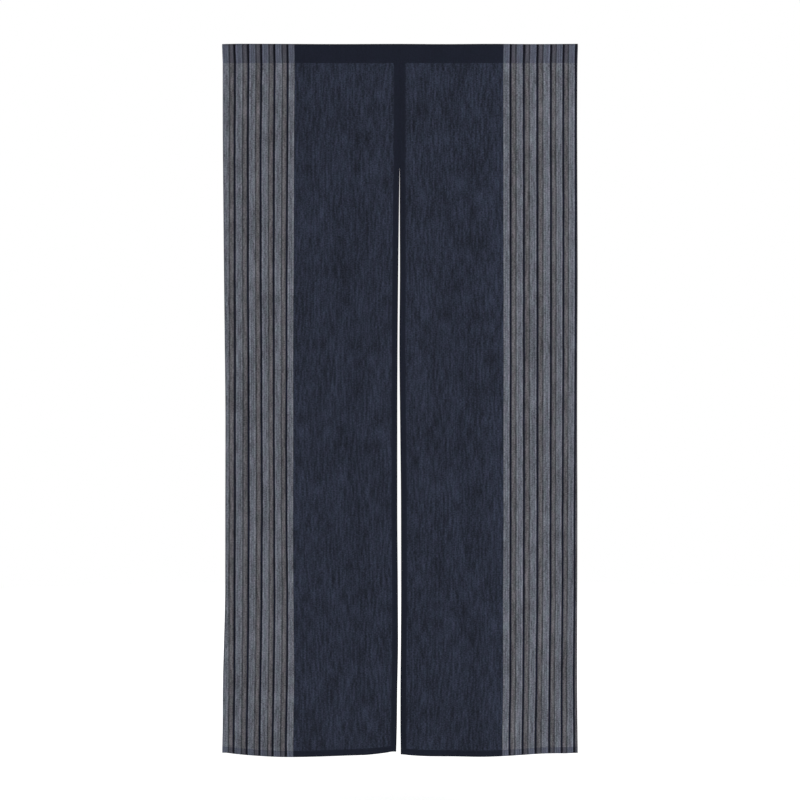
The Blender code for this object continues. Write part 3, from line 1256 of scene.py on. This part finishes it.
@dataclass
class Studio:
    """The pale floor, the soft lights and the camera."""

    floor_depth: float = 1.86
    floor_radius: float = 6.0
    key_place: tuple = (2.4, -3.0, 1.1)
    key_size: float = 1.6
    key_power: float = 83.0
    back_place: tuple = (-2.0, 3.6, 0.8)
    back_power: float = 39.0
    floor_white: tuple = (0.86, 0.86, 0.86, 1.0)
    floor_glow: float = 0.55
    room: float = 0.54        # how bright the room is, where the camera sees plain white

    def build(self) -> None:
        """Add everything to the scene."""
        self._floor()
        self._lamp("key", self.key_place, self.key_size, self.key_power)
        self._lamp("back", self.back_place, 2 * self.key_size, self.back_power)
        self._world()
        self._camera()
        bpy.context.scene.view_settings.view_transform = "Standard"

    def _floor(self) -> None:
        """Add the floor, below the hanging curtain."""
        bpy.ops.object.select_all(action="DESELECT")
        bpy.ops.mesh.primitive_circle_add(vertices=96, radius=self.floor_radius,
                                          fill_type="NGON", location=(0, 0, -self.floor_depth))
        floor = bpy.context.object
        floor.name = "floor"
        board = Board("floor_white")
        shader = board.add("ShaderNodeBsdfPrincipled", None, {
            "Base Color": self.floor_white, "Roughness": 0.9,
            "Emission Color": (1.0, 1.0, 1.0, 1.0), "Emission Strength": self.floor_glow})
        board.add("ShaderNodeOutputMaterial", None, {0: shader}, out=None)
        floor.data.materials.append(board.material)

    @staticmethod
    def _lamp(name: str, place: tuple, size: float, power: float) -> None:
        """Add a soft square light that faces the curtain's middle.

        Args:
            name: Its name.
            place: Where it stands.
            size: The length of its sides.
            power: Its power in watts.
        """
        lamp = bpy.data.lights.new(name, "AREA")
        lamp.size = size
        lamp.energy = power
        obj = bpy.data.objects.new(name, lamp)
        obj.location = place
        aim = Vector((0, 0, CAMERA_HEIGHT)) - Vector(place)
        obj.rotation_euler = aim.to_track_quat("-Z", "Y").to_euler()
        bpy.context.scene.collection.objects.link(obj)

    def _world(self) -> None:
        """Add a plain room: white behind the curtain, and dimmer as a light."""
        world = bpy.data.worlds.new("room")
        world.use_nodes = True
        bpy.context.scene.world = world
        background = world.node_tree.nodes["Background"]
        ray = world.node_tree.nodes.new("ShaderNodeLightPath")
        strength = world.node_tree.nodes.new("ShaderNodeMapRange")
        strength.inputs["To Min"].default_value = self.room
        background.inputs["Color"].default_value = (1.0, 1.0, 1.0, 1.0)
        world.node_tree.links.new(ray.outputs["Is Camera Ray"], strength.inputs["Value"])
        world.node_tree.links.new(strength.outputs["Result"], background.inputs["Strength"])

    @staticmethod
    def _camera() -> None:
        """Add the camera, square on to the curtain."""
        camera = bpy.data.cameras.new("camera")
        camera.sensor_width = SENSOR
        camera.lens = SENSOR * CAMERA_DISTANCE / FIELD
        obj = bpy.data.objects.new("camera", camera)
        obj.location = (0, -CAMERA_DISTANCE, CAMERA_HEIGHT)
        obj.rotation_euler = (math.pi / 2, 0, 0)
        bpy.context.scene.collection.objects.link(obj)
        bpy.context.scene.camera = obj


def dress(piece: bpy.types.Object, material: bpy.types.Material) -> None:
    """Give a piece its material, let it ride with the curtain, and log its faces.

    Args:
        piece: The piece.
        material: Its material.
    """
    piece.data.materials.clear()
    piece.data.materials.append(material)
    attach(piece, BODY)
    LOG.info("%s: %d faces", piece.name, len(piece.data.polygons))


def build_curtain(frame: dict[str, Any]) -> None:
    """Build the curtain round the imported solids.

    Args:
        frame: The loaded frame.
    """
    striped = StripedCloth("striped_cloth").build()
    doubled = StripedCloth("doubled_cloth").build()
    thread = SewingThread().build()
    heading_bottom = -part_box("heading")[0].z
    stitches = StitchRun()
    surfaces = {}
    columns = {}
    for side in Side:
        node = f"panel_{side.word}"
        surface = HungSurface(frame["nodes"][node], side)
        panel = PanelCloth(surface, gap_above=surface.top - heading_bottom)
        surfaces[side] = surface
        columns[side] = panel.face_columns
        cloth = panel.build()
        dress(cloth, striped)
        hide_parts(node)
        sewing = stitches.build(f"{node}_stitches", panel.stitch_rows())
        dress(sewing, thread)
        inner, outer = surface.corner_x
        flat = (abs(outer - inner) + 2 * SIDE_HEM - TUCK_SHORT,
                surface.length + 2 * BOTTOM_HEM - TUCK_SHORT)
    heading = HeadingCloth(surfaces, columns)
    sleeve = heading.build()
    dress(sleeve, doubled)
    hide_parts("heading")
    sewing = stitches.build("heading_stitches", heading.stitch_rows())
    dress(sewing, thread)


def main() -> None:
    """Load the frame, and build the curtain and the studio."""
    logging.basicConfig(level=logging.INFO, format="%(name)s: %(message)s")
    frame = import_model()
    build_curtain(frame)
    Studio().build()


if __name__ == "__main__":
    main()
